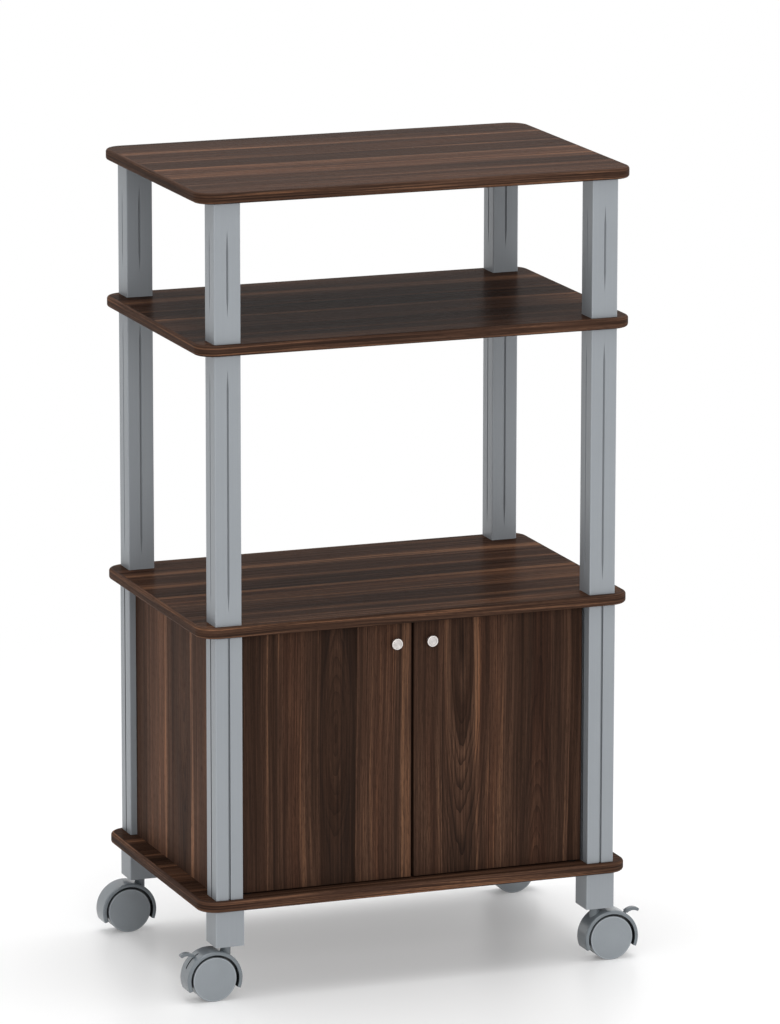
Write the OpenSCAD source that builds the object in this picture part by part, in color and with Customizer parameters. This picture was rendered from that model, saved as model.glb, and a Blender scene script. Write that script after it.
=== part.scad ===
// Microwave cart: four wood-look boards on twelve square tubes, a two-door cabinet
// at the bottom, and four hooded twin-wheel casters, two of them with brake levers.
// Millimetres. X to the right, Y to the back, Z up; the origin is on the floor
// under the middle of the boards.

/* [Boards] */
// Width of every board, over its edging
board_w = 600; // [560:10:700]
// Depth of every board, over its edging
board_d = 400; // [360:10:480]
// Thickness of every board
board_t = 15; // [14:1:20]
// Radius of the boards' corners, seen from above
board_corner_r = 27; // [22:1:36]
// How far the edging stands out from a board's core
edging_t = 4.5; // [3.5:0.5:6]
// Radius on the top and bottom edges of the edging
edging_round = 4; // [1:0.5:6]
// Thickness of the edging's spine
spine_t = 2.2; // [1.6:0.2:3]
// How far the spine reaches into the core
spine_depth = 7; // [5:1:9]

/* [Heights] */
// Length of the foot blocks under the base board
foot_h = 48; // [44:2:70]
// Clear height of the cabinet
cabinet_h = 351; // [300:1:420]
// Clear height of the middle bay
middle_h = 355.5; // [300:0.5:420]
// Clear height of the upper bay
upper_h = 182.5; // [150:0.5:260]

/* [Posts] */
// Width of the square tubes above the cabinet
upper_tube_w = 36; // [33:0.5:38]
// Width of the square tubes of the cabinet
cabinet_tube_w = 37; // [35:0.2:38]
// Width of the square foot blocks
foot_w = 39.5; // [37:0.5:42]
// Wall of the square tubes
tube_wall = 2.8; // [2.4:0.1:3.4]
// Radius on the outer corners of tubes and foot blocks
tube_corner_r = 1.5; // [0.8:0.1:2.2]
// Distance from a board's side edge to the posts' centres
post_inset_x = 39.4; // [34:0.2:48]
// Distance from a board's front or back edge to the posts' centres
post_inset_y = 25; // [23:0.5:32]
// Width of the pointed grooves down the faces of the upper tubes
groove_w = 3; // [2:0.2:4]
// Depth of the pointed grooves
groove_depth = 1.5; // [1:0.1:1.9]
// Length over which a groove runs out to its point
groove_taper = 26; // [12:1:40]
// Plain length at each end of a tube in the upper bay
upper_groove_end = 33; // [20:1:45]
// Plain length at each end of a tube in the middle bay
middle_groove_end = 17; // [10:1:45]
// Width of the square slots down the faces of the cabinet tubes
slot_w = 3; // [2:0.2:4]
// Depth of the square slots
slot_depth = 3.2; // [2:0.2:4]
// Diameter of the studs that join the posts through the boards
stud_d = 6; // [5:0.5:8]
// How far a stud screws into a post
stud_grip = 16; // [12:1:18]
// How far a stud screws into the underside of the top board
stud_blind = 11; // [8:0.5:12]
// Length of the threaded plugs in the tubes' ends
plug_length = 22; // [18:1:30]

/* [Panels] */
// Thickness of the side panels
side_t = 12; // [9:1:15]
// Thickness of the back panel
back_t = 5; // [3:0.5:8]
// How far the panels lie behind the tubes' outer faces
panel_inset = 9; // [6:0.5:14]
// Depth of the grooves in the boards that hold the panels
panel_groove = 4; // [3:0.5:5]

/* [Doors] */
// Thickness of the doors
door_t = 15; // [12:1:18]
// How far the doors' fronts lie behind the tubes' fronts
door_setback = 16.8; // [12:0.2:18]
// Gap between a door and the tube on its hinge side
door_side_gap = 3; // [2.6:0.1:4]
// Gap between the two doors
door_mid_gap = 3.5; // [2.5:0.1:5]
// Gap under the doors
door_bottom_gap = 2.5; // [2.2:0.1:4]
// Gap above the doors
door_top_gap = 3; // [2.2:0.1:4]
// Radius on the doors' upright edges
door_edge_r = 1.2; // [0.6:0.1:2]
// What the pivots stand further in than a corner needs to clear its tube
pivot_spare = 2.1; // [1:0.1:4]
// Diameter of the pivot pins
pivot_pin_d = 5; // [4:0.5:6]
// How far a pivot pin is driven into its door
pivot_in_door = 15; // [10:1:20]
// How far a pivot pin reaches into its bush
pivot_in_bush = 8; // [6:0.5:9]
// Thickness of a bush's flange
bush_flange_t = 1; // [0.8:0.1:1.4]

/* [Knobs] */
// Diameter of a knob's head
knob_d = 15; // [12:0.5:19]
// Height of a knob
knob_h = 9.5; // [8:0.5:14]
// Diameter of a knob's neck
knob_neck_d = 8; // [7:0.5:9]
// Distance from a door's free edge to its knob
knob_from_edge = 22.9; // [16:0.1:40]
// Distance from a door's top to its knob
knob_from_top = 27.4; // [18:0.1:60]

/* [Wheels] */
// Diameter of the caster wheels
wheel_d = 60; // [50:1:66]
// Width of one wheel
wheel_w = 11.3; // [10:0.1:14]
// Gap between the two wheels of a caster
wheel_gap = 6.4; // [6.2:0.1:8]
// Radius on a wheel's outer edge
wheel_round = 1.4; // [1:0.1:3]
// Thickness of a wheel's rim
rim_t = 4; // [3:0.5:6]
// Thickness of a wheel's face
face_t = 2.6; // [2.2:0.1:3.5]
// Number of ribs inside a wheel
wheel_ribs = 6; // [4:1:10]
// Diameter of the axles
axle_d = 5; // [4:0.5:6]

/* [Casters] */
// Distance that the axle trails behind the swivel axis
trail = 19.3; // [17:0.1:22]
// Gap between a wheel's rim and its hood
hood_gap = 3; // [2:0.1:4]
// Wall of the hood
hood_t = 5; // [4:0.1:6]
// Radius on the hood's outer edges
hood_round = 2.2; // [1:0.1:3]
// Radius on the hood's inner edges
hood_inner_round = 0.9; // [0.3:0.1:1.2]
// How far the hood stands out past the wheels' faces
hood_lip = 1.5; // [0.5:0.1:3]
// Angle by which the hood's skirts reach below the axle
skirt_angle = 22; // [10:1:30]
// Thickness of the hood's web between the wheels
web_t = 5.4; // [5.2:0.1:6]
// Diameter of the swivel boss
boss_d = 13.5; // [12:0.1:15]
// How far the swivel boss stands above the hood's crown
boss_rise = 4.2; // [3:0.1:8]
// Radius on the boss's upper edge
boss_round = 0.8; // [0.3:0.1:1.5]
// Diameter of the swivel stem
stem_d = 8; // [7:0.5:8.5]
// Thickness of the stem's collar
collar_t = 1.6; // [1:0.1:2.4]
// How far the stem is driven into its foot block
stem_grip = 26; // [20:1:26]

/* [Brake levers] */
// Thickness of the lever's plate
lever_t = 2.2; // [1.8:0.1:2.6]
// Width of the lever's arm
lever_arm_w = 6; // [5:0.1:6.5]
// Angle of the lever's arm above the axle, released
lever_angle = 50; // [48:0.5:52]
// How far the lever can be pressed down
lever_down = 20; // [10:1:22]
// How far the lever can be lifted
lever_up = 5; // [3:1:6]
// Width of the lever's finger pad
finger_w = 7; // [5:0.5:9]
// Thickness of the finger pad
finger_t = 4.2; // [3.4:0.1:5]
// Radius of the finger pad's curve
finger_bend_r = 14.2; // [13.6:0.1:15]
// Where the finger pad's curve starts, from its tip's side
finger_tip_angle = 62; // [50:1:75]

/* [Catch] */
// Width of the magnetic catch
catch_w = 52; // [46:1:70]
// Depth of the magnetic catch
catch_d = 15; // [12:1:20]
// Height of the magnetic catch
catch_h = 14; // [12:1:18]
// Thickness of the strike plates on the doors
strike_t = 1.2; // [0.8:0.1:2]

/* [Hidden] */
$fn = 64;

// Sides of the cart, as factors on X and Y.
LEFT = -1;
RIGHT = 1;
FRONT = -1;
REAR = 1;
SIDES = [-1, 1];

// Clearances: a thread in its hole, a pressed piece in its seat, a turning fit and a
// panel in its groove.
thread_clear = 0.05;
seat_clear = 0.02;
run_clear = 0.05;
groove_clear = 0.2;
stud_hole_clear = 0.3;
// What a cut runs past the face it opens through.
cut_over = 1;

wood = "#4a342a";
wood_edge = "#5a4033";
grey = "#989da2";
dark_grey = "#7d8388";
steel = "#c9cbcc";
black = "#303234";
nylon = "#e6e4dc";

// Plan: post centres and the tubes' faces.
post_x = board_w / 2 - post_inset_x;
post_y = board_d / 2 - post_inset_y;
tube_in_x = post_x - cabinet_tube_w / 2;
tube_in_y = post_y - cabinet_tube_w / 2;
tube_out_x = post_x + cabinet_tube_w / 2;
tube_out_y = post_y + cabinet_tube_w / 2;

// Boards: the core inside the edging.
core_w = board_w - 2 * edging_t;
core_d = board_d - 2 * edging_t;
core_r = board_corner_r - edging_t;
spine_gap = 0.3;
// The least flat that the rounds leave on the edging.
edge_flat = 0.3;
edge_r = min(edging_round, edging_t - edge_flat, board_t / 2 - edge_flat);

// Casters, from the floor up.
wheel_r = wheel_d / 2;
hood_in_r = wheel_r + hood_gap;
hood_r = hood_in_r + hood_t;
hood_half_w = wheel_gap / 2 + wheel_w + hood_lip;
hood_edge_r = min(hood_round, hood_t - 0.5);
swivel_gap = 0.2;
boss_top = wheel_r + hood_r + boss_rise;
caster_h = boss_top + swivel_gap + collar_t;
boss_floor_t = 1.6;
boss_bore_z = wheel_r + sqrt(pow(hood_in_r, 2) - pow(trail - stem_d / 2, 2)) + boss_floor_t;
stem_end_gap = 0.3;
hub_t = 4;
hub_r = axle_d / 2 + hub_t;
web_hub_t = 1.5;
rib_t = 1.6;
rib_in = 0.5;
rib_start = 2;
rib_clear = 1.5;
axle_end_gap = 0.3;
axle_cover = 1.8;
axle_half = wheel_gap / 2 + wheel_w - axle_cover - axle_end_gap;

// Heights of the boards' undersides.
base_z = caster_h + foot_h;
cabinet_z = base_z + board_t + cabinet_h;
middle_z = cabinet_z + board_t + middle_h;
top_z = middle_z + board_t + upper_h;
base_top = base_z + board_t;

// Panels, between the posts.
side_out_x = tube_out_x - panel_inset;
back_out_y = tube_out_y - panel_inset;
panel_end_gap = 0.5;
side_len = 2 * (tube_in_y - panel_end_gap);
back_len = 2 * (tube_in_x - panel_end_gap);
panel_h = cabinet_h + 2 * panel_groove - groove_clear;

// Doors: hung on pins in the boards, at the middle of the door's thickness.
door_front_y = -tube_out_y + door_setback;
door_back_y = door_front_y + door_t;
door_mid_y = (door_front_y + door_back_y) / 2;
door_hinge_x = tube_in_x - door_side_gap;
door_w = door_hinge_x - door_mid_gap / 2;
door_z = base_top + door_bottom_gap;
door_top_z = cabinet_z - door_top_gap;
pivot_in = (pow(door_t / 2, 2) - pow(door_side_gap, 2)) / (2 * door_side_gap) + pivot_spare;
pivot_x = door_hinge_x - pivot_in;
bush_r = pivot_pin_d / 2 + 2;
bush_flange_r = bush_r + 2;
bush_length = pivot_in_bush + 1;
pin_shoulder_r = pivot_pin_d / 2 + 1.5;
shoulder_clear = 0.1;

// Knobs and their screws.
knob_x = door_mid_gap / 2 + knob_from_edge;
knob_z = door_top_z - knob_from_top;
knob_dish = 0.7;
knob_rim = 1.8;
knob_head_t = 3.4;
knob_edge_r = 0.9;
knob_foot_t = 1.2;
knob_foot_w = 1;
knob_cone_h = 2;
knob_cone_in = 0.4;
knob_cap_t = 3;
knob_thread = knob_h - knob_cap_t;
screw_r = 2;
screw_head_r = 4;
screw_head_t = 2.4;
screw_head_round = 1;
screw_end_gap = 0.5;
recess_w = 4;
recess_t = 0.8;
recess_depth = 1.3;

// Brake levers: the arm turns on the axle in a slot through the web and the hood.
lever_side_gap = 0.4;
lever_slot_t = lever_t + 2 * lever_side_gap;
lever_ring_gap = 0.6;
lever_ring_r = hub_r - lever_ring_gap;
lever_arm_length = hood_in_r + 1;
arm_half_angle = asin(lever_arm_w / 2 / hood_in_r);
slot_spare_angle = 2;
slot_low_angle = lever_angle - lever_down - arm_half_angle - slot_spare_angle;
slot_high_angle = lever_angle + lever_up + arm_half_angle + slot_spare_angle;
pocket_spread = 32;
pocket_in_r = hood_in_r + 0.6;
pad_gap = 1.4;
pad_in_r = hood_r + pad_gap;
finger_root_angle = 154;
finger_root_r = hood_in_r + 1.4;
finger_centre = [
  finger_root_r * cos(lever_angle) - finger_bend_r * cos(finger_root_angle),
  finger_root_r * sin(lever_angle) - finger_bend_r * sin(finger_root_angle)
];

// Catch and strike plates, at the top of the doors' backs.
strike_gap = 0.3;
strike_w = 16;
strike_h = 10;
strike_from_edge = 2;
catch_front_y = door_back_y + strike_t + strike_gap;
ear_w = 8;
ear_t = 3;
ear_step = 2;
ear_hole_r = 1.6;
pole_t = 1.5;
pole_w = 12;
pole_out = 1.5;
pole_in = 8;
pole_pitch = 6;

// A rectangle with round corners, centred.
module round_rect(w, d, r) {
  square([w - 2 * r, d], center = true);
  square([w, d - 2 * r], center = true);
  for (sx = SIDES, sy = SIDES) {
    translate([sx * (w / 2 - r), sy * (d / 2 - r)]) circle(r = r);
  }
}

module at_posts() {
  for (sx = SIDES, sy = SIDES) translate([sx * post_x, sy * post_y, 0]) children();
}

// ---- Boards ----

module core_blank() {
  groove_in = spine_depth + spine_gap;
  difference() {
    linear_extrude(board_t) round_rect(core_w, core_d, core_r);
    translate([0, 0, (board_t - spine_t) / 2]) linear_extrude(spine_t) difference() {
      round_rect(board_w, board_d, board_corner_r);
      round_rect(core_w - 2 * groove_in, core_d - 2 * groove_in, core_r - groove_in);
    }
  }
}

module stud_holes(z, depth) {
  at_posts() translate([0, 0, z]) cylinder(h = depth, r = stud_d / 2 + stud_hole_clear);
}

// Cuts for the side and back panels, from z = 0 to their depth.
module panel_grooves(depth) {
  for (sx = SIDES) {
    translate([sx * (side_out_x - side_t / 2), 0, depth / 2])
      cube([side_t + 2 * groove_clear, side_len + 2 * groove_clear, depth], center = true);
  }
  translate([0, back_out_y - back_t / 2, depth / 2])
    cube([back_len + 2 * groove_clear, back_t + 2 * groove_clear, depth], center = true);
}

module bush_seats(z) {
  for (sx = SIDES) {
    translate([sx * pivot_x, door_mid_y, z])
      cylinder(h = bush_length + cut_over, r = bush_r + seat_clear);
  }
}

module top_board() {
  color(wood) translate([0, 0, top_z]) difference() {
    core_blank();
    stud_holes(-cut_over, stud_blind + cut_over);
  }
}

module middle_board() {
  color(wood) translate([0, 0, middle_z]) difference() {
    core_blank();
    stud_holes(-cut_over, board_t + 2 * cut_over);
  }
}

module cabinet_board() {
  color(wood) translate([0, 0, cabinet_z]) difference() {
    core_blank();
    stud_holes(-cut_over, board_t + 2 * cut_over);
    translate([0, 0, -cut_over]) panel_grooves(panel_groove + cut_over);
    bush_seats(-cut_over);
  }
}

module base_board() {
  color(wood) translate([0, 0, base_z]) difference() {
    core_blank();
    stud_holes(-cut_over, board_t + 2 * cut_over);
    translate([0, 0, board_t - panel_groove]) panel_grooves(panel_groove + cut_over);
    bush_seats(board_t - bush_length);
  }
}

// The edging's section: x is measured from the corner's centre, y from the underside.
module edging_section() {
  x0 = board_corner_r - edging_t;
  translate([x0, 0]) square([edging_t - edge_r, board_t]);
  translate([x0, edge_r]) square([edging_t, board_t - 2 * edge_r]);
  intersection() {
    translate([x0, 0]) square([edging_t, board_t]);
    union() {
      for (y = [edge_r, board_t - edge_r]) translate([board_corner_r - edge_r, y]) circle(r = edge_r);
    }
  }
  translate([x0 - spine_depth, (board_t - spine_t) / 2]) square([spine_depth + edging_t / 2, spine_t]);
}

// The edging's section, carried round one corner and along the side after it.
module edging_quarter(x, y, turn, length) {
  translate([x, y, 0]) rotate([0, 0, turn]) {
    rotate_extrude(angle = 90) edging_section();
    rotate([90, 0, 0]) linear_extrude(length) edging_section();
  }
}

module board_edging(z) {
  cx = board_w / 2 - board_corner_r;
  cy = board_d / 2 - board_corner_r;
  color(wood_edge) translate([0, 0, z]) {
    edging_quarter(cx, cy, 0, 2 * cy);
    edging_quarter(-cx, cy, 90, 2 * cx);
    edging_quarter(-cx, -cy, 180, 2 * cy);
    edging_quarter(cx, -cy, 270, 2 * cx);
  }
}

// ---- Posts ----

// A tapered groove: four-sided, pointed at both ends, lying half in the face at x = 0.
module pointed_groove(length) {
  half = groove_w / 2;
  low = groove_taper;
  high = length - groove_taper;
  polyhedron(
    points = [
      [0, 0, 0],
      [-groove_depth, 0, low], [0, -half, low], [groove_depth, 0, low], [0, half, low],
      [-groove_depth, 0, high], [0, -half, high], [groove_depth, 0, high], [0, half, high],
      [0, 0, length]
    ],
    faces = [
      [0, 1, 2], [0, 2, 3], [0, 3, 4], [0, 4, 1],
      [1, 5, 6, 2], [2, 6, 7, 3], [3, 7, 8, 4], [4, 8, 5, 1],
      [9, 6, 5], [9, 7, 6], [9, 8, 7], [9, 5, 8]
    ]
  );
}

// The hollow of a tube: plain, or with its walls folded in behind the four slots.
module tube_hollow(w, folded) {
  inside = w - 2 * tube_wall;
  fold_w = slot_w + 2 * tube_wall;
  difference() {
    square(inside, center = true);
    if (folded) {
      for (a = [0:90:270]) {
        rotate(a) translate([w / 2 - tube_wall - slot_depth, -fold_w / 2])
          square([slot_depth + tube_wall, fold_w]);
      }
    }
  }
}

module grooved_post(sx, sy, z, h, end) {
  color(grey) translate([sx * post_x, sy * post_y, z]) difference() {
    linear_extrude(h) difference() {
      round_rect(upper_tube_w, upper_tube_w, tube_corner_r);
      tube_hollow(upper_tube_w, false);
    }
    for (a = [0:90:270]) {
      rotate([0, 0, a]) translate([upper_tube_w / 2, 0, end]) pointed_groove(h - 2 * end);
    }
  }
}

module upper_post(sx, sy) {
  grooved_post(sx, sy, middle_z + board_t, upper_h, upper_groove_end);
}

module middle_post(sx, sy) {
  grooved_post(sx, sy, cabinet_z + board_t, middle_h, middle_groove_end);
}

module cabinet_post(sx, sy) {
  color(grey) translate([sx * post_x, sy * post_y, base_top]) linear_extrude(cabinet_h) difference() {
    round_rect(cabinet_tube_w, cabinet_tube_w, tube_corner_r);
    tube_hollow(cabinet_tube_w, true);
    for (a = [0:90:270]) {
      rotate(a) translate([cabinet_tube_w / 2 - slot_depth, -slot_w / 2])
        square([slot_depth + cut_over, slot_w]);
    }
  }
}

module foot_block(sx, sy) {
  color(grey) translate([sx * post_x, sy * post_y, caster_h]) difference() {
    linear_extrude(foot_h) round_rect(foot_w, foot_w, tube_corner_r);
    translate([0, 0, foot_h - stud_grip]) cylinder(h = stud_grip + cut_over, r = stud_d / 2 + thread_clear);
    translate([0, 0, -cut_over]) cylinder(h = stem_grip + cut_over, r = stem_d / 2 + seat_clear);
  }
}

module end_plug(w, folded) {
  linear_extrude(plug_length) difference() {
    tube_hollow(w, folded);
    circle(r = stud_d / 2 + thread_clear);
  }
}

// A plug at both ends of a tube of height h that stands at z.
module plug_pair(w, folded, z, h) {
  translate([0, 0, z]) end_plug(w, folded);
  translate([0, 0, z + h - plug_length]) end_plug(w, folded);
}

module post_end_plugs() {
  color(black) at_posts() {
    plug_pair(cabinet_tube_w, true, base_top, cabinet_h);
    plug_pair(upper_tube_w, false, cabinet_z + board_t, middle_h);
    plug_pair(upper_tube_w, false, middle_z + board_t, upper_h);
  }
}

module joining_studs() {
  color(steel) at_posts() {
    for (z = [base_z, cabinet_z, middle_z]) {
      translate([0, 0, z - stud_grip]) cylinder(h = board_t + 2 * stud_grip, d = stud_d);
    }
    translate([0, 0, top_z - stud_grip]) cylinder(h = stud_grip + stud_blind, d = stud_d);
  }
}

// ---- Panels ----

module side_panel(sx) {
  color(wood) translate([sx * (side_out_x - side_t / 2), 0, base_top - panel_groove + panel_h / 2])
    cube([side_t, side_len, panel_h], center = true);
}

module back_panel() {
  color(wood) translate([0, back_out_y - back_t / 2, base_top - panel_groove + panel_h / 2])
    cube([back_len, back_t, panel_h], center = true);
}

// ---- Doors: drawn for the right side, mirrored for the left ----

module on_side(side) {
  mirror([side == LEFT ? 1 : 0, 0, 0]) children();
}

module door(side) {
  color(wood) on_side(side) difference() {
    translate([door_mid_gap / 2 + door_w / 2, door_mid_y, door_z])
      linear_extrude(door_top_z - door_z) round_rect(door_w, door_t, door_edge_r);
    translate([pivot_x, door_mid_y, door_z - cut_over])
      cylinder(h = pivot_in_door + cut_over, r = pivot_pin_d / 2 + seat_clear);
    translate([pivot_x, door_mid_y, door_top_z - pivot_in_door])
      cylinder(h = pivot_in_door + cut_over, r = pivot_pin_d / 2 + seat_clear);
    translate([knob_x, door_back_y + cut_over, knob_z]) rotate([90, 0, 0])
      cylinder(h = door_t + 2 * cut_over, r = screw_r + stud_hole_clear);
  }
}

// Half of the knob's outline: x from its axis, y from the door's face.
module knob_outline() {
  neck_r = knob_neck_d / 2;
  head_r = knob_d / 2;
  cone_top = knob_h - knob_head_t + knob_cone_in;
  cone_z = cone_top - knob_cone_h;
  band_h = knob_h - cone_top;
  difference() {
    union() {
      square([neck_r + knob_foot_w, knob_foot_t]);
      square([neck_r, knob_h - knob_dish]);
      polygon([[0, cone_z], [neck_r, cone_z], [head_r, cone_top], [0, cone_top]]);
      translate([0, cone_top]) square([head_r - knob_edge_r, band_h]);
      translate([0, cone_top]) square([head_r, band_h - knob_edge_r]);
      translate([head_r - knob_edge_r, knob_h - knob_edge_r]) circle(r = knob_edge_r);
    }
    translate([-cut_over, knob_h - knob_dish]) square([head_r - knob_rim + cut_over, knob_dish + cut_over]);
    translate([-cut_over, -cut_over]) square([screw_r + thread_clear + cut_over, knob_thread + cut_over]);
  }
}

module door_knob(side) {
  color(steel) on_side(side) translate([knob_x, door_front_y, knob_z]) rotate([90, 0, 0])
    rotate_extrude() knob_outline();
}

// A pan-head screw through the door into its knob, with a cross recess.
module knob_screw(side) {
  color(steel) on_side(side) translate([knob_x, door_back_y, knob_z]) rotate([90, 0, 0]) difference() {
    union() {
      translate([0, 0, -screw_head_t]) rotate_extrude() {
        translate([0, screw_head_round]) square([screw_head_r, screw_head_t - screw_head_round]);
        square([screw_head_r - screw_head_round, screw_head_t]);
        translate([screw_head_r - screw_head_round, screw_head_round]) circle(r = screw_head_round);
      }
      cylinder(h = door_t + knob_thread - screw_end_gap, r = screw_r);
    }
    for (a = [0, 90]) {
      rotate([0, 0, a]) translate([-recess_w / 2, -recess_t / 2, -screw_head_t - cut_over])
        cube([recess_w, recess_t, cut_over + recess_depth]);
    }
  }
}

// Two pins to a door, each with a shoulder that runs on its bush's flange.
module door_pivot_pins(side) {
  pin_length = pivot_in_bush + pivot_in_door;
  shoulder = bush_flange_t + shoulder_clear;
  color(steel) on_side(side) translate([pivot_x, door_mid_y, 0]) {
    translate([0, 0, base_top - pivot_in_bush]) cylinder(h = pin_length + door_bottom_gap, d = pivot_pin_d);
    translate([0, 0, base_top + shoulder]) cylinder(h = door_bottom_gap - shoulder, r = pin_shoulder_r);
    translate([0, 0, door_top_z - pivot_in_door]) cylinder(h = pin_length + door_top_gap, d = pivot_pin_d);
    translate([0, 0, door_top_z]) cylinder(h = door_top_gap - shoulder, r = pin_shoulder_r);
  }
}

module bush() {
  difference() {
    union() {
      translate([0, 0, -bush_length]) cylinder(h = bush_length, r = bush_r);
      cylinder(h = bush_flange_t, r = bush_flange_r);
    }
    translate([0, 0, -bush_length - cut_over])
      cylinder(h = bush_length + bush_flange_t + 2 * cut_over, r = pivot_pin_d / 2 + run_clear);
  }
}

module pivot_bushes() {
  color(black) for (sx = SIDES) {
    translate([sx * pivot_x, door_mid_y, base_top]) bush();
    translate([sx * pivot_x, door_mid_y, cabinet_z]) rotate([180, 0, 0]) bush();
  }
}

// ---- Catch ----

// Two level plates, one over the other, that reach back from the catch's front.
module pole_pair(side, clear) {
  pole_x = side * (door_mid_gap / 2 + strike_from_edge + strike_w / 2);
  pole_z = cabinet_z - catch_h + strike_h / 2;
  for (sz = SIDES) {
    translate([pole_x, catch_front_y + (pole_out + pole_in) / 2, pole_z + sz * pole_pitch / 2])
      cube([pole_w + 2 * clear, pole_out + pole_in + 2 * clear, pole_t + 2 * clear], center = true);
  }
}

// A case with two screwed ears, and a pair of pole plates for each door.
module magnetic_catch() {
  case_w = catch_w - 2 * ear_w;
  case_y = catch_front_y + pole_out;
  case_d = catch_d - pole_out;
  color(nylon) difference() {
    union() {
      translate([-case_w / 2, case_y, cabinet_z - catch_h]) cube([case_w, case_d, catch_h]);
      translate([-catch_w / 2, case_y + ear_step, cabinet_z - ear_t])
        cube([catch_w, case_d - 2 * ear_step, ear_t]);
    }
    for (side = SIDES) {
      pole_pair(side, seat_clear);
      translate([side * (catch_w - ear_w) / 2, case_y + case_d / 2, cabinet_z - ear_t - cut_over])
        cylinder(h = ear_t + 2 * cut_over, r = ear_hole_r);
    }
  }
  color(steel) for (side = SIDES) pole_pair(side, 0);
}

module strike_plate(side) {
  plate_x = door_mid_gap / 2 + strike_from_edge;
  color(steel) on_side(side) translate([plate_x, door_back_y, cabinet_z - catch_h])
    cube([strike_w, strike_t, strike_h]);
}

// ---- Casters: drawn at the origin with the axle trailing towards +X ----

module at_caster(sx, sy) {
  translate([sx * post_x, sy * post_y, 0]) rotate([0, 0, sx == LEFT ? 180 : 0]) children();
}

// Turns a drawing made round the axle, x trailing and y up, onto the caster.
module on_axle() {
  translate([trail, 0, wheel_r]) rotate([90, 0, 0]) children();
}

// A part of a ring round the axle between two angles, as thick as its section.
module sweep(low, high) {
  rotate([0, 0, low]) rotate_extrude(angle = high - low) children();
}

// The hood's section: x from the axle, y across the wheels.
module hood_section() {
  flat_t = hood_t - hood_edge_r - hood_inner_round;
  translate([hood_in_r + hood_inner_round, -hood_half_w]) square([flat_t, 2 * hood_half_w]);
  translate([hood_in_r, -hood_half_w + hood_inner_round])
    square([hood_t - hood_edge_r, 2 * (hood_half_w - hood_inner_round)]);
  translate([hood_in_r, -hood_half_w + hood_edge_r]) square([hood_t, 2 * (hood_half_w - hood_edge_r)]);
  for (sy = SIDES) {
    translate([hood_r - hood_edge_r, sy * (hood_half_w - hood_edge_r)]) circle(r = hood_edge_r);
    translate([hood_in_r + hood_inner_round, sy * (hood_half_w - hood_inner_round)])
      circle(r = hood_inner_round);
  }
  translate([0, -web_t / 2]) square([hood_in_r + hood_t / 2, web_t]);
}

// The boss's half section, from the axle's height up.
module boss_section() {
  boss_h = boss_top - wheel_r;
  square([boss_d / 2, boss_h - boss_round]);
  square([boss_d / 2 - boss_round, boss_h]);
  translate([boss_d / 2 - boss_round, boss_h - boss_round]) circle(r = boss_round);
}

module swivel_boss() {
  difference() {
    translate([0, 0, wheel_r]) rotate_extrude() boss_section();
    on_axle() cylinder(h = 2 * hood_half_w, r = hood_in_r, center = true);
  }
}

module brake_slot() {
  half = lever_slot_t / 2;
  on_axle() {
    sweep(slot_low_angle, slot_high_angle)
      translate([hub_r, -half]) square([hood_t + pocket_in_r - hub_r + cut_over, lever_slot_t]);
    sweep(lever_angle - lever_down - pocket_spread, lever_angle + lever_up + pocket_spread)
      translate([0, -half]) square([pocket_in_r, lever_slot_t]);
    cylinder(h = lever_slot_t, r = hub_r + lever_side_gap, center = true);
  }
}

module caster_hood(sx, sy) {
  color(dark_grey) at_caster(sx, sy) difference() {
    union() {
      on_axle() sweep(-skirt_angle, 180 + skirt_angle) hood_section();
      on_axle() cylinder(h = web_t, r = hub_r + web_hub_t, center = true);
      swivel_boss();
    }
    translate([0, 0, boss_bore_z]) cylinder(h = boss_top - boss_bore_z + cut_over, r = stem_d / 2);
    on_axle() cylinder(h = web_t + 2 * cut_over, r = axle_d / 2 + seat_clear, center = true);
    if (sy == FRONT) brake_slot();
  }
}

module caster_axle(sx, sy) {
  color(steel) at_caster(sx, sy) on_axle() cylinder(h = 2 * axle_half, d = axle_d, center = true);
}

// The wheel's half section: x from the axle, y from its inner side to its face.
module wheel_section() {
  difference() {
    union() {
      translate([wheel_r - rim_t, 0]) square([rim_t, wheel_w - wheel_round]);
      translate([0, wheel_w - face_t]) square([wheel_r - wheel_round, face_t]);
      translate([wheel_r - wheel_round, wheel_w - wheel_round]) circle(r = wheel_round);
      square([hub_r, wheel_w]);
    }
    translate([-cut_over, -cut_over])
      square([axle_d / 2 + run_clear + cut_over, wheel_w - axle_cover + cut_over]);
  }
}

// side is FRONT or REAR: which way the wheel's face looks.
module wheel(sx, sy, side) {
  color(dark_grey) translate([sx * (post_x + trail), sy * post_y, wheel_r])
    rotate([side == FRONT ? 90 : -90, 0, 0]) translate([0, 0, wheel_gap / 2]) {
      rotate_extrude() wheel_section();
      for (i = [0:wheel_ribs - 1]) {
        rotate([0, 0, i * 360 / wheel_ribs]) translate([hub_r - rib_in, -rib_t / 2, rib_start])
          cube([wheel_r - rim_t - hub_r + 2 * rib_in, rib_t, wheel_w - face_t - rib_clear]);
      }
    }
}

// The finger pad's side view: an arched strip with a round tip.
module finger_outline() {
  span = finger_root_angle - finger_tip_angle;
  reach = 2 * finger_bend_r;
  translate(finger_centre) {
    intersection() {
      difference() {
        circle(r = finger_bend_r + finger_t / 2);
        circle(r = finger_bend_r - finger_t / 2);
      }
      polygon([
        [0, 0],
        for (i = [0:3]) reach * [cos(finger_tip_angle + i * span / 3), sin(finger_tip_angle + i * span / 3)]
      ]);
    }
    rotate(finger_tip_angle) translate([finger_bend_r, 0]) circle(r = finger_t / 2);
  }
}

module lever_outline() {
  circle(r = lever_ring_r);
  rotate(lever_angle) translate([0, -lever_arm_w / 2]) square([lever_arm_length, lever_arm_w]);
  finger_outline();
}

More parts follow.
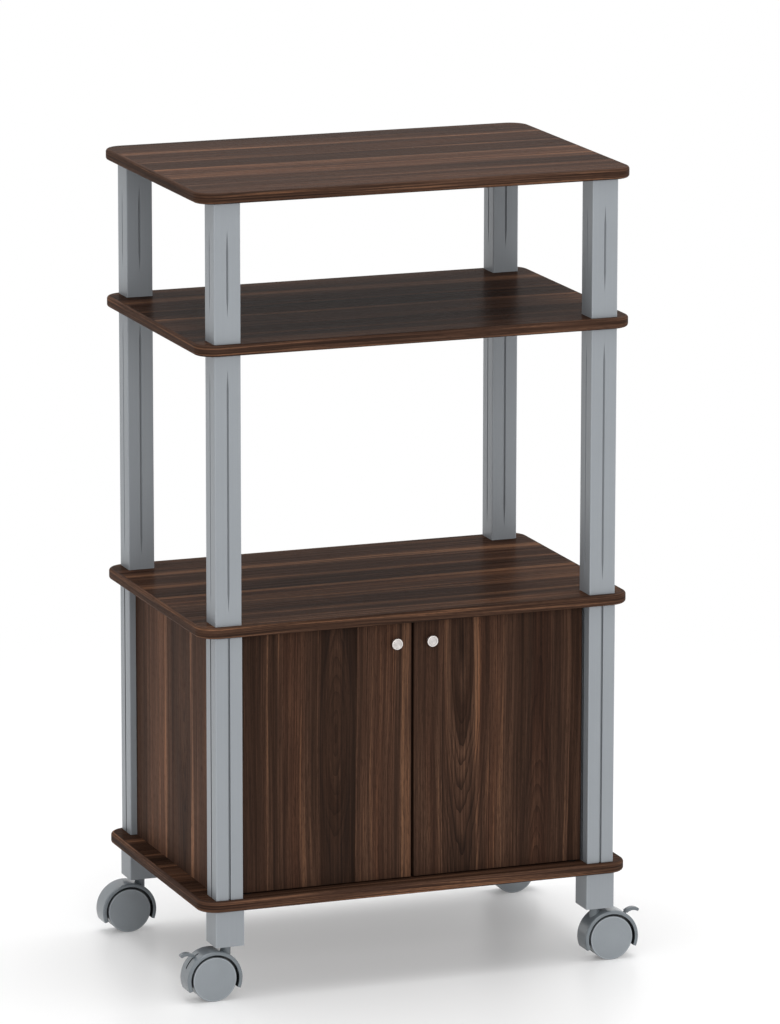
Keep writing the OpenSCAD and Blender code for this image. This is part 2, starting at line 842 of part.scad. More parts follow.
module brake_lever(sx, sy) {
  color(dark_grey) at_caster(sx, sy) on_axle() {
    linear_extrude(lever_t, center = true) difference() {
      lever_outline();
      circle(r = axle_d / 2 + run_clear);
    }
    linear_extrude(finger_w, center = true) difference() {
      finger_outline();
      circle(r = pad_in_r);
    }
  }
}

// The stems stand in the foot blocks and carry the hoods.
module caster_stems() {
  color(steel) at_posts() {
    translate([0, 0, boss_bore_z + stem_end_gap])
      cylinder(h = caster_h - boss_bore_z - stem_end_gap, r = stem_d / 2 - run_clear);
    translate([0, 0, caster_h - collar_t]) cylinder(h = collar_t, d = boss_d);
    translate([0, 0, caster_h - collar_t / 2]) cylinder(h = stem_grip + collar_t / 2, r = stem_d / 2);
  }
}

top_board();
middle_board();
cabinet_board();
base_board();
board_edging(top_z);  // top_board_edging
board_edging(middle_z);  // middle_board_edging
board_edging(cabinet_z);  // cabinet_board_edging
board_edging(base_z);  // base_board_edging
upper_post(LEFT, FRONT);  // upper_post_front_left
upper_post(RIGHT, FRONT);  // upper_post_front_right
upper_post(LEFT, REAR);  // upper_post_rear_left
upper_post(RIGHT, REAR);  // upper_post_rear_right
middle_post(LEFT, FRONT);  // middle_post_front_left
middle_post(RIGHT, FRONT);  // middle_post_front_right
middle_post(LEFT, REAR);  // middle_post_rear_left
middle_post(RIGHT, REAR);  // middle_post_rear_right
cabinet_post(LEFT, FRONT);  // cabinet_post_front_left
cabinet_post(RIGHT, FRONT);  // cabinet_post_front_right
cabinet_post(LEFT, REAR);  // cabinet_post_rear_left
cabinet_post(RIGHT, REAR);  // cabinet_post_rear_right
foot_block(LEFT, FRONT);  // foot_block_front_left
foot_block(RIGHT, FRONT);  // foot_block_front_right
foot_block(LEFT, REAR);  // foot_block_rear_left
foot_block(RIGHT, REAR);  // foot_block_rear_right
side_panel(LEFT);  // side_panel_left
side_panel(RIGHT);  // side_panel_right
back_panel();
door(LEFT);  // door_left
door(RIGHT);  // door_right
door_knob(LEFT);  // door_knob_left
door_knob(RIGHT);  // door_knob_right
knob_screw(LEFT);  // knob_screw_left
knob_screw(RIGHT);  // knob_screw_right
door_pivot_pins(LEFT);  // door_pivot_pins_left
door_pivot_pins(RIGHT);  // door_pivot_pins_right
pivot_bushes();
magnetic_catch();
strike_plate(LEFT);  // strike_plate_left
strike_plate(RIGHT);  // strike_plate_right
joining_studs();
post_end_plugs();
caster_stems();
caster_hood(LEFT, FRONT);  // caster_hood_front_left
caster_hood(RIGHT, FRONT);  // caster_hood_front_right
caster_hood(LEFT, REAR);  // caster_hood_rear_left
caster_hood(RIGHT, REAR);  // caster_hood_rear_right
caster_axle(LEFT, FRONT);  // caster_axle_front_left
caster_axle(RIGHT, FRONT);  // caster_axle_front_right
caster_axle(LEFT, REAR);  // caster_axle_rear_left
caster_axle(RIGHT, REAR);  // caster_axle_rear_right
wheel(LEFT, FRONT, FRONT);  // wheel_outer_front_left
wheel(RIGHT, FRONT, FRONT);  // wheel_outer_front_right
wheel(LEFT, REAR, REAR);  // wheel_outer_rear_left
wheel(RIGHT, REAR, REAR);  // wheel_outer_rear_right
wheel(LEFT, FRONT, REAR);  // wheel_inner_front_left
wheel(RIGHT, FRONT, REAR);  // wheel_inner_front_right
wheel(LEFT, REAR, FRONT);  // wheel_inner_rear_left
wheel(RIGHT, REAR, FRONT);  // wheel_inner_rear_right
brake_lever(LEFT, FRONT);  // brake_lever_front_left
brake_lever(RIGHT, FRONT);  // brake_lever_front_right
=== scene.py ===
"""Microwave cart: walnut boards, grey posts and casters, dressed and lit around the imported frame.

Laid out as an add-on and run as a script: main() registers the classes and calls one
operator after the other. Lengths are in metres, angles in radians.
"""
import math

import bmesh
import bpy
import numpy as np
from bpy.props import FloatProperty, FloatVectorProperty, PointerProperty
from mathutils import Matrix, Vector


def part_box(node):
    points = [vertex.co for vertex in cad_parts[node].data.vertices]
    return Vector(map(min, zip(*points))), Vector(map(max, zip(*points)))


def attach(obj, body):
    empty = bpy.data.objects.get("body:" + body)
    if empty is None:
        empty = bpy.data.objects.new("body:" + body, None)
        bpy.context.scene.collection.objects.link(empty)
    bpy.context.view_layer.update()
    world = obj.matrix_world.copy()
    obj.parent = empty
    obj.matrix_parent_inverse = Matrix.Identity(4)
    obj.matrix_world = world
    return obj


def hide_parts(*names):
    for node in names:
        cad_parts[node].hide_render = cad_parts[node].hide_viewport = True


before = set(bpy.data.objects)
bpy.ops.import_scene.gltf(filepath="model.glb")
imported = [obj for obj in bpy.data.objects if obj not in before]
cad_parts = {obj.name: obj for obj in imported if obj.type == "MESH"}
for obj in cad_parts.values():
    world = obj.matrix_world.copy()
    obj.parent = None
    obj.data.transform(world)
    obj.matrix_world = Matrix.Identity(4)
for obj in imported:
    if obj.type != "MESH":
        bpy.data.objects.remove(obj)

bl_info = {
    "name": "Microwave Cart Finish",
    "version": (1, 0, 0),
    "blender": (4, 5, 0),
    "location": "View3D > Sidebar > Cart",
    "description": "Finishes, edgings, knobs and a studio for a kitchen cart",
    "category": "Object",
}

CORNERS = ("front_left", "front_right", "rear_left", "rear_right")
SIDES = ("left", "right")
# How light each board's wood is, as a shift of its tone. The top board's darker tone is
# painted shade that offsets the overhead lamp's light.
BOARDS = {"top": -0.08, "middle": -0.02, "cabinet": 0.12, "base": 0.0}
# How much of its colour a groove keeps under its painted shade, in front and behind and then
# on the sides, for each kind.
POST_GROOVE_SHADE = {
    "upper_post": (0.65, 0.65), "middle_post": (0.65, 0.65), "cabinet_post": (0.75, 0.08),
    "foot_block": (1.0, 1.0),
}
# Half the width of the painted shade in a post's grooves, and how far in from its face it starts.
GROOVE_HALF = 0.0017
GROOVE_START = 0.00005
# How far in from a post's face its painted corner highlights start and where they are whole.
CORNER_HIGHLIGHT = (0.0018, 0.0008)
# Edges that turn by more than this stay sharp, and points nearer than this are welded.
SHARP = math.radians(34)
WELD = 1e-7
# Width and length of the grain's slow and quick wander.
SLOW_WANDER = (0.11, 0.55)
QUICK_WANDER = (0.018, 0.09)
# Half the floor's width.
FLOOR_REACH = 30
# Each lamp's size, place and aim.
LAMPS = {
    "key": (2.0, (-0.5, -4.6, 2.4), (0, 0, 0.5)),
    "fill": (2.4, (3.4, -3.4, 1.8), (0, 0, 0.5)),
    "overhead": (3.2, (0.2, 0.25, 3.4), (0, 0, 0)),
}
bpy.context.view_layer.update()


def paint(red, green, blue):
    """The linear colour that shows as this 0 to 255 display colour: the display curve undone."""
    shown = np.array([red, green, blue]) / 255
    linear = np.where(shown <= 0.04045, shown / 12.92, ((shown + 0.055) / 1.055) ** 2.4)
    return tuple(float(c) for c in linear)


def scaled(shade, factor):
    """A colour made darker or lighter."""
    return tuple(min(1.0, c * factor) for c in shade)


def colour(name, default, description):
    """A colour that a user can change."""
    return FloatVectorProperty(
        name=name, description=description, default=default, subtype="COLOR", min=0, max=1
    )


def length(name, default, description):
    """A length that a user can change."""
    return FloatProperty(name=name, description=description, default=default, unit="LENGTH")


def number(name, default, description):
    """A plain factor that a user can change."""
    return FloatProperty(name=name, description=description, default=default, subtype="FACTOR")


def power(name, default, description):
    """A lamp's power, in watts."""
    return FloatProperty(name=name, description=description, default=default, unit="POWER")


class CartWalnut(bpy.types.PropertyGroup):
    """Colours and grain of the walnut laminate."""

    darkest: colour("Darkest", paint(36, 25, 20), "Latewood lines and pores")
    dark: colour("Dark", paint(50, 35, 27), "Dark leaves of the veneer")
    middle: colour("Middle", paint(63, 44, 34), "Main tone")
    light: colour("Light", paint(82, 59, 46), "Light leaves of the veneer")
    lightest: colour("Lightest", paint(124, 89, 66), "Sapwood streaks")
    red: colour("Red", paint(104, 62, 46), "Reddish heartwood")
    olive: colour("Olive", paint(58, 50, 40), "Olive heartwood")
    leaf_width: length("Leaf width", 0.03, "Width of a light or dark leaf")
    leaf_reach: length("Leaf length", 0.8, "Length of a light or dark leaf")
    leaf_depth: number("Leaf depth", 0.13, "How far a leaf's tone strays from the middle")
    streak_width: length("Streak width", 0.006, "Width of a streak")
    streak_reach: length("Streak length", 0.3, "Length of a streak")
    streak_depth: number("Streak depth", 0.15, "How far a streak's tone strays from its leaf")
    fibre_width: length("Fibre width", 0.0016, "Width of the fine lines")
    fibre_reach: length("Fibre length", 0.22, "Length of the fine lines")
    fibre_depth: number("Fibre depth", 0.42, "How strong the fine lines are")
    pore_width: length("Pore width", 0.0007, "Width of an open pore")
    pore_reach: length("Pore length", 0.012, "Length of an open pore")
    pore_depth: number("Pore depth", 0.4, "How much of the darkest colour an open pore has")
    wander: length("Wander", 0.016, "How far the grain strays sideways")
    panel_roughness: number("Panel roughness", 0.62, "Roughness of the doors, panels and edgings")
    panel_gloss: number("Panel gloss", 0.05, "Specular level of the doors, panels and edgings")
    board_roughness: number("Board roughness", 0.28, "Roughness of the boards")
    board_gloss: number("Board gloss", 0.002, "Specular level of the boards")


class CartGreys(bpy.types.PropertyGroup):
    """Colours of the grey plastics and the metals."""

    post: colour("Posts", paint(147, 152, 157), "Silver-grey of the tubes and foot blocks")
    hood: colour("Hoods", paint(118, 125, 130), "Blue-grey of the hoods and levers")
    wheel: colour("Wheels", paint(142, 148, 153), "Blue-grey of the wheels")
    knob: colour("Knobs", paint(229, 224, 221), "Satin nickel")
    zinc: colour("Zinc", paint(196, 198, 200), "Zinc-plated steel")
    pin: colour("Pins", paint(52, 47, 43), "Blackened steel of the doors' pivots")
    nylon: colour("Nylon", paint(228, 226, 218), "Catch")
    plug: colour("Plugs", paint(46, 47, 50), "Plugs in the tubes' ends")
    bush: colour("Bushes", paint(30, 27, 25), "Bushes of the doors' pivots")


class CartEdging(bpy.types.PropertyGroup):
    """Sizes of the edging round a board."""

    thickness: length("Thickness", 0.0045, "How far it stands out from the core")
    corner: length("Corner radius", 0.027, "Radius of a board's corner")
    edge: length("Edge radius", 0.004, "Radius of its top and bottom edges")
    spine: length("Spine thickness", 0.0022, "Thickness of the spine in the core")
    spine_depth: length("Spine depth", 0.007, "How far the spine reaches into the core")


class CartKnob(bpy.types.PropertyGroup):
    """Sizes of a door knob."""

    rim: length("Rim", 0.0018, "Width of the raised rim")
    dish: length("Dish", 0.0007, "Depth of the dished face")
    head: length("Head", 0.0034, "Thickness of the head")
    neck: length("Neck radius", 0.004, "Radius of the neck")
    edge: length("Edge radius", 0.0009, "Radius of the rim's outer edge")
    turning: length("Turning step", 0.0005, "Distance between the rings left by turning")
    dish_factor: number("Dish factor", 0.74, "How much of its colour the dished face keeps")


class CartCaster(bpy.types.PropertyGroup):
    """Zones of painted shade and painted highlight on a caster's plastic: where they are, and factors of
    its colour.
    """

    gap: length("Gap", 0.003, "Gap between a wheel's rim and its hood")
    wall: length("Wall", 0.005, "Thickness of the hood's wall")
    slot: length("Slot", 0.012, "Half the width of the shaded inside of the brake lever's slot")
    slot_edge: length("Slot edge", 0.0004, "How far below the hood's face that shade starts")
    # The polished line is a painted highlight near a wheel's rounded rim.
    rim_highlight_inset: length("Rim inset", 0.0017, "How far in from a wheel's edge its polished line is")
    rim_highlight_width: length("Rim width", 0.0007, "Width of the polished line")
    tread_edge: length("Tread edge", 0.0002, "How far in from a wheel's edge its tread starts")
    # Painted shade on the hood's inside and in the lever's slot, a painted highlight at a wheel's rim
    # and painted shade on its tread.
    inside: number("Inside", 0.14, "The hood's shaded inside")
    rim: number("Rim", 1.35, "The polished line round a wheel's rim")
    tread: number("Tread", 0.6, "The wheel's tread")


class CartStudio(bpy.types.PropertyGroup):
    """Camera, floor and light."""

    eye: FloatVectorProperty(
        name="Camera", description="Where the camera stands", subtype="XYZ",
        unit="LENGTH", default=(-3.0425, -8.1299, 2.5203),
    )
    yaw: FloatProperty(name="Yaw", description="Turn towards +X", subtype="ANGLE", default=0.36184)
    pitch: FloatProperty(name="Pitch", description="Tilt upwards", subtype="ANGLE", default=-0.21838)
    roll: FloatProperty(name="Roll", description="Turn of the frame", subtype="ANGLE", default=0.00141)
    lens: FloatProperty(name="Lens", description="Focal length", unit="CAMERA", default=235.7)
    floor: colour("Floor", paint(246, 246, 246), "Pale floor")
    floor_near: length("Floor near", 0.35, "Where the floor starts to show as white")
    floor_far: length("Floor far", 1.9, "Where the floor shows as plain white")
    ambient: number("Ambient", 0.55, "Light from all round")
    key: power("Key", 56.0, "Power of the large lamp in front")
    fill: power("Fill", 12.0, "Power of the lamp at the front right")
    overhead: power("Overhead", 110.0, "Power of the lamp overhead")


# ---- The walnut's figure ----
# Arches: share across, share along, slope, ring, inner radius, outer radius, depth.
# Bands: start, end and softness as shares of the width, tone, red. Rings: the same in metres.

BOARD_BANDS = (
    (0.02, 0.08, 0.01, 0.06, 0.2), (0.1, 0.13, 0.01, -0.16, 0.1), (0.15, 0.17, 0.006, 0.12, 0.3),
    (0.18, 0.27, 0.02, -0.16, 0.1), (0.29, 0.45, 0.02, 0.12, 0.5), (0.33, 0.338, 0.004, 0.12, 0.0),
    (0.46, 0.482, 0.004, 0.3, 0.1), (0.49, 0.6, 0.012, -0.2, 0.0), (0.62, 0.635, 0.005, 0.2, 0.2),
    (0.65, 0.76, 0.02, -0.12, 0.4), (0.79, 0.825, 0.008, 0.26, 0.2), (0.86, 0.95, 0.02, -0.14, 0.1),
)
PANEL_ARCHES = ((0.37, 1.0, 0.11, 0.003, 0.014, 0.034, 0.36),)
PANEL_BANDS = (
    (0.04, 0.18, 0.02, -0.08, 0.3), (0.26, 0.282, 0.01, 0.3, 0.1), (0.3, 0.56, 0.03, -0.12, -0.2),
    (0.595, 0.62, 0.01, 0.26, 0.1), (0.63, 0.8, 0.02, 0.08, 0.5), (0.87, 1.1, 0.03, -0.22, -0.3),
)
PANEL_RINGS = ((0.014, 0.03, 0.004, 0.08, 0.1),)
BACK_ARCHES = ((0.42, 0.0, 0.12, 0.0028, 0.016, 0.044, 0.24), (0.78, 1.0, 0.14, 0.003, 0.01, 0.04, 0.2))
LEFT_ARCHES = ((0.57, 0.58, 0.2, 0.0036, 0.003, 0.026, 0.22),)
LEFT_BANDS = (
    (-0.1, 0.03, 0.02, -0.07, 0.0), (0.12, 0.155, 0.01, -0.1, 0.0), (0.168, 0.176, 0.004, 0.14, 0.0),
    (0.247, 0.252, 0.004, 0.08, 0.0), (0.27, 0.375, 0.02, 0.0, 0.6), (0.452, 0.459, 0.003, 0.12, 0.0),
    (0.475, 0.685, 0.008, -0.13, -0.5), (0.61, 0.65, 0.02, -0.1, 0.1), (0.7, 0.88, 0.02, 0.04, 0.4),
    (0.89, 0.95, 0.012, 0.08, 0.2), (0.955, 1.1, 0.012, 0.17, 0.0),
)
LEFT_RINGS = ((0.019, 0.021, 0.003, 0.08, 0.0),)
RIGHT_ARCHES = (
    (0.29, 0.9, 0.12, 0.0031, 0.016, 0.04, 0.45), (0.735, -0.1, 0.16, 0.003, 0.004, 0.024, 0.24),
)
RIGHT_BANDS = (
    (-0.1, 0.13, 0.02, -0.1, 0.2), (0.15, 0.165, 0.01, 0.12, 0.1), (0.365, 0.385, 0.006, 0.28, 0.2),
    (0.395, 0.52, 0.02, 0.03, 0.4), (0.6, 0.608, 0.004, 0.16, 0.0), (0.615, 0.69, 0.02, -0.08, -0.1),
    (0.7, 0.79, 0.02, 0.06, 0.7), (0.9, 0.907, 0.004, 0.14, 0.0), (0.93, 1.1, 0.015, -0.14, -0.5),
)
RIGHT_RINGS = (
    (0.0172, 0.0245, 0.003, 0.18, 0.4), (-0.01, 0.012, 0.006, -0.1, -0.4),
    (0.028, 0.036, 0.004, -0.07, 0.0),
)


# ---- Finishes ----


class Finish:
    """One procedural material. Each method adds nodes and returns what they put out."""

    def __init__(self, name):
        self.material = bpy.data.materials.new(name)
        self.material.use_nodes = True
        self.tree = self.material.node_tree
        self.shader = self.tree.nodes["Principled BSDF"]

    def add(self, kind, inputs=(), output=0, **settings):
        """A node of that kind; inputs is a mapping of socket to a value or to another output."""
        node = self.tree.nodes.new("ShaderNode" + kind)
        for name, value in settings.items():
            setattr(node, name, value)
        for socket, value in dict(inputs).items():
            self.feed(node.inputs[socket], value)
        return node.outputs[output]

    def feed(self, socket, value):
        """Links an output to the socket, or sets the socket's own value."""
        if isinstance(value, bpy.types.NodeSocket):
            self.tree.links.new(value, socket)
        else:
            socket.default_value = value

    def surface(self, **values):
        """Feeds the shader: base_color=..., roughness=... by the sockets' names."""
        for name, value in values.items():
            self.feed(self.shader.inputs[name.replace("_", " ").title().replace("Ior", "IOR")], value)
        return self.material

    def math(self, operation, *values):
        return self.add("Math", enumerate(values), operation=operation)

    def total(self, *values):
        """All values added up."""
        found = values[0]
        for value in values[1:]:
            found = self.math("ADD", found, value)
        return found

    def distance(self, *parts):
        """The root of the sum of the parts' squares."""
        return self.math("SQRT", self.total(*(self.math("MULTIPLY", part, part) for part in parts)))

    def spread(self, value, low, high, start=0.0, end=1.0, smooth=False):
        """value from low to high carried over to start to end, and held there beyond."""
        return self.add(
            "MapRange",
            {"Value": value, "From Min": low, "From Max": high, "To Min": start, "To Max": end},
            interpolation_type="SMOOTHSTEP" if smooth else "LINEAR",
        )

    def leaf(self, value, start, end, softness):
        """1 where value lies between start and end, falling smoothly to 0 over softness outside."""
        after = self.spread(value, start - softness, start, smooth=True)
        before = self.spread(value, end + softness, end, smooth=True)
        return self.math("MULTIPLY", after, before)

    def point(self, x, y, z):
        return self.add("CombineXYZ", {"X": x, "Y": y, "Z": z})

    def place(self):
        """The object's own x, y and z."""
        where = self.add("TexCoord", output="Object")
        split = self.add("SeparateXYZ", {0: where}).node
        return [split.outputs[i] for i in range(3)]

    def noise(self, point, detail=2.0, roughness=0.5, scale=1.0, distortion=0.0):
        """Cloudy noise about 0.5, with one blob to a unit of point at a scale of 1."""
        return self.add(
            "TexNoise",
            {"Vector": point, "Scale": scale, "Detail": detail, "Roughness": roughness,
             "Distortion": distortion},
        )

    def stretched(self, across, along, deep, width, reach, detail=2.0, roughness=0.5):
        """Noise whose blobs are width wide and reach long, as wood fibres are."""
        size = [self.math("DIVIDE", a, s) for a, s in ((across, width), (along, reach), (deep, width))]
        return self.noise(self.point(*size), detail, roughness)

    def ramp(self, value, stops):
        """A colour for each (position, colour) in stops, blended between them."""
        made = self.add("ValToRGB", {"Fac": value})
        band = made.node.color_ramp
        for extra in stops[2:]:
            band.elements.new(extra[0])
        for element, (position, shade) in zip(band.elements, sorted(stops, key=lambda s: s[0])):
            element.position = position
            element.color = (*shade, 1)
        return made

    def mix(self, share, first, second, blend="MIX"):
        """The first colour, with its share of the second."""
        return self.add(
            "Mix", {0: share, 6: first, 7: second}, output=2, data_type="RGBA", blend_type=blend
        )

    def bump(self, height, distance, strength):
        return self.add("Bump", {"Height": height, "Distance": distance, "Strength": strength})


def rgba(shade):
    return (*shade, 1.0)


def add_leaves(finish, where, leaves, tones, reds):
    """Adds the tone and the red of each leaf (start, end, softness, tone, red) to the two lists."""
    for start, end, softness, gain, red in leaves:
        inside = finish.leaf(where, start, end, softness)
        tones.append(finish.math("MULTIPLY", inside, gain))
        reds.append(finish.math("MULTIPLY", inside, red))


def arch(finish, layer, along, ripple, centre, pith, slope, ring, inner, outer, depth):
    """Folds the wood's layers round an axis at centre: returns the folded layer and a tone.

    The folded layer is the distance from the axis: the root of across squared plus slope times
    along squared, so that a layer shows as a long arch. The tanh of the second part, and its
    fading on both sides, keep the rest of the wood straight. The tone holds growth lines a ring
    apart, which mark the arches between the radii inner and outer.
    """
    sideways = finish.math("SUBTRACT", layer, centre)
    height = finish.math("MULTIPLY", finish.math("SUBTRACT", along, pith), slope / outer)
    bend = finish.spread(finish.math("ABSOLUTE", sideways), outer, 2.5 * outer, outer, 0.0, smooth=True)
    lengthways = finish.math("MULTIPLY", finish.math("TANH", height), bend)
    folded = finish.distance(sideways, lengthways)
    crossing = finish.math("DIVIDE", finish.math("ABSOLUTE", lengthways), folded)
    uneven = finish.math("MULTIPLY", ripple, 2.2)
    turns = finish.math("FRACT", finish.math("ADD", finish.math("DIVIDE", folded, ring), uneven))
    late = finish.math("POWER", turns, 4.0)
    shown = finish.math(
        "MULTIPLY",
        finish.leaf(folded, inner, outer, 0.3 * (outer - inner)),
        finish.spread(crossing, 0.3, 0.9, 0.12, 1.0),
    )
    return folded, finish.math("MULTIPLY", finish.math("MULTIPLY", late, shown), -depth)


def walnut_look(
    finish, across, along, deep, arches=(), bands=(), rings=(), painted_light_and_marks=(),
    tone=0.0, lift=1.0, contrast=1.0, kind="panel",
):
    """Walnut with its fibres along one direction.

    The grain strays sideways by slow noise. Its tone is a sum of noises stretched along the
    fibres: wide leaves, streaks and fine lines, with open pores on top. Each of the arches,
    (across, along, slope, ring, inner, outer, depth), folds the layers once more. bands are leaves
    that run the whole length, and rings are the same round the first arch. painted_light_and_marks
    holds further amounts of tone: the edging's painted shade, painted highlights and dark lines.
    lift makes all the colours lighter by that factor, and contrast strengthens the streaks and
    lines. kind says whose gloss it has, a panel's or a board's.
    """
    wood = bpy.context.scene.cart_walnut
    slow = finish.stretched(across, along, deep, *SLOW_WANDER, 1.0)
    ripple = finish.stretched(across, along, deep, *QUICK_WANDER, 2.0)
    stray = finish.total(
        finish.math("MULTIPLY", finish.math("SUBTRACT", slow, 0.5), wood.wander),
        finish.math("MULTIPLY", finish.math("SUBTRACT", ripple, 0.5), wood.wander / 12),
    )
    side = finish.math("ADD", across, stray)
    tones, reds = [0.5 + tone, *painted_light_and_marks], []
    add_leaves(finish, side, bands, tones, reds)
    layer = side
    for order, (centre, *form) in enumerate(arches):
        # Once folded, the layers count from the last axis, so the next is placed by its distance.
        offset = abs(centre - arches[order - 1][0]) if order else centre
        layer, lines = arch(finish, layer, along, ripple, offset, *form)
        tones.append(lines)
        if not order:
            add_leaves(finish, layer, rings, tones, reds)
    leaf = finish.stretched(layer, along, deep, wood.leaf_width, wood.leaf_reach, 2.0, 0.55)
    streak = finish.stretched(layer, along, deep, wood.streak_width, wood.streak_reach, 3.0, 0.6)
    fibre = finish.stretched(side, along, deep, wood.fibre_width, wood.fibre_reach, 2.0, 0.6)
    fleck = finish.stretched(side, along, deep, wood.pore_width, wood.pore_reach, 1.0)
    fine = finish.spread(fibre, 0.3, 0.7, -0.5, 0.5)
    streak_depth = wood.streak_depth * contrast
    tones += [
        finish.spread(leaf, 0.3, 0.7, -wood.leaf_depth, wood.leaf_depth),
        finish.spread(streak, 0.28, 0.72, -streak_depth, streak_depth),
        finish.math("MULTIPLY", fine, wood.fibre_depth * contrast),
    ]
    stops = (
        (0.0, wood.darkest), (1.0, wood.lightest), (0.28, wood.dark), (0.5, wood.middle),
        (0.72, wood.light),
    )
    shade = finish.ramp(finish.total(*tones), [(place, scaled(c, lift)) for place, c in stops])
    warm = finish.stretched(layer, along, deep, wood.leaf_width / 2, wood.leaf_reach, 2.0)
    warmth = finish.total(finish.spread(warm, 0.35, 0.65, -0.5, 0.5), *reds)
    for hue, limit, strength in ((wood.red, 1.0, 0.36), (wood.olive, -1.0, 0.75)):
        share = finish.spread(warmth, 0.0, limit, 0.0, strength)
        shade = finish.mix(share, shade, rgba(hue), "SOFT_LIGHT")
    crowd = finish.spread(streak, 0.35, 0.65, 0.36, 0.46)
    open_pore = finish.spread(finish.math("SUBTRACT", fleck, crowd), -0.05, 0.03, 1.0, 0.0)
    shade = finish.mix(finish.math("MULTIPLY", open_pore, wood.pore_depth), shade, rgba(wood.darkest))
    rough = finish.total(
        getattr(wood, kind + "_roughness"),
        finish.math("MULTIPLY", fine, 0.08),
        finish.math("MULTIPLY", open_pore, 0.1),
    )
    height = finish.math("SUBTRACT", finish.math("MULTIPLY", fine, 0.4), open_pore)
    return finish.surface(
        base_color=shade, roughness=rough, specular_ior_level=getattr(wood, kind + "_gloss"),
        normal=finish.bump(height, 0.00006, 0.6),
    )


def walnut(node, axes, arches=(), bands=(), rings=(), **look):
    """Walnut for a flat node. axes such as "xzy" name the directions across, along and into it.

    Places across are shares of the node's width and places along are shares of its length.
    """
    finish = Finish("walnut_" + node)
    by_name = dict(zip("xyz", finish.place()))
    low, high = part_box(node)
    wide, tall = ("xyz".index(a) for a in axes[:2])
    width = high[wide] - low[wide]
    return walnut_look(
        finish, *(by_name[a] for a in axes),
        arches=[
            (low[wide] + across * width, low[tall] + along * (high[tall] - low[tall]), *rest)
            for across, along, *rest in arches
        ],
        bands=[
            (low[wide] + start * width, low[wide] + end * width, softness * width, *rest)
            for start, end, softness, *rest in bands
        ],
        rings=rings, **look,
    )


def walnut_edging(name, board_z, height):
    """Walnut whose fibres run along the edging: u is the length along it and v the girth.

    board_z sets each board's figure off from the others'. Lines along it, from the bottom: painted
    shade on the underside, a painted highlight on the lower round edge, a dark line, another
    painted highlight on the upper round edge and the dark joint with the core.
    """
    size = bpy.context.scene.cart_edging
    finish = Finish(name)
    where = finish.add("UVMap", uv_map="length_and_girth")
    split = finish.add("SeparateXYZ", {0: where}).node
    along, girth = split.outputs[0], split.outputs[1]
    flat = size.thickness - size.edge
    round_edge = size.edge * math.pi / 2
    top = flat + round_edge + height - 2 * size.edge
    joint = top + round_edge + flat
    # Start, end, softness and tone of each line: painted shade on the underside, a painted highlight on
    # the lower round edge, a dark line, a painted highlight on the upper round edge, the dark joint.
    lines = (
        (0.0, flat + 0.35 * round_edge, 0.001, -0.2),
        (flat + 0.6 * round_edge, flat + 0.8 * round_edge, 0.0006, 0.14),
        (top - 0.0032, top - 0.0026, 0.0006, -0.14),
        (top + 0.1 * round_edge, top + 0.3 * round_edge, 0.0008, 0.12),
        (joint - 0.0006, joint, 0.0005, -0.4),
    )
    painted_light_and_marks = [
        finish.math("MULTIPLY", finish.leaf(girth, start, end, softness), gain)
        for start, end, softness, gain in lines
    ]
    return walnut_look(finish, girth, along, board_z, painted_light_and_marks=painted_light_and_marks, tone=0.04, lift=1.16, contrast=1.6)


def moulded_plastic(name, shade, roughness, grain, specular=0.5):
    """Moulded plastic: faint clouds in the colour, and a fine even grain in the gloss and the bump."""
    finish = Finish(name)
    x, y, z = finish.place()
    where = finish.point(x, y, z)
    clouds = finish.noise(where, 3.0, 0.6, scale=28.0)
    specks = finish.noise(where, 2.0, 0.7, scale=1 / grain)
    tint = finish.spread(clouds, 0.3, 0.7, 0.0, 0.5)
    colour_out = finish.mix(tint, rgba(shade), rgba(scaled(shade, 0.93)))
    rough = finish.spread(specks, 0.3, 0.7, roughness - 0.05, roughness + 0.07)
    return finish.surface(
        base_color=colour_out, roughness=rough, specular_ior_level=specular,
        normal=finish.bump(specks, grain * 0.06, 0.5),
    )


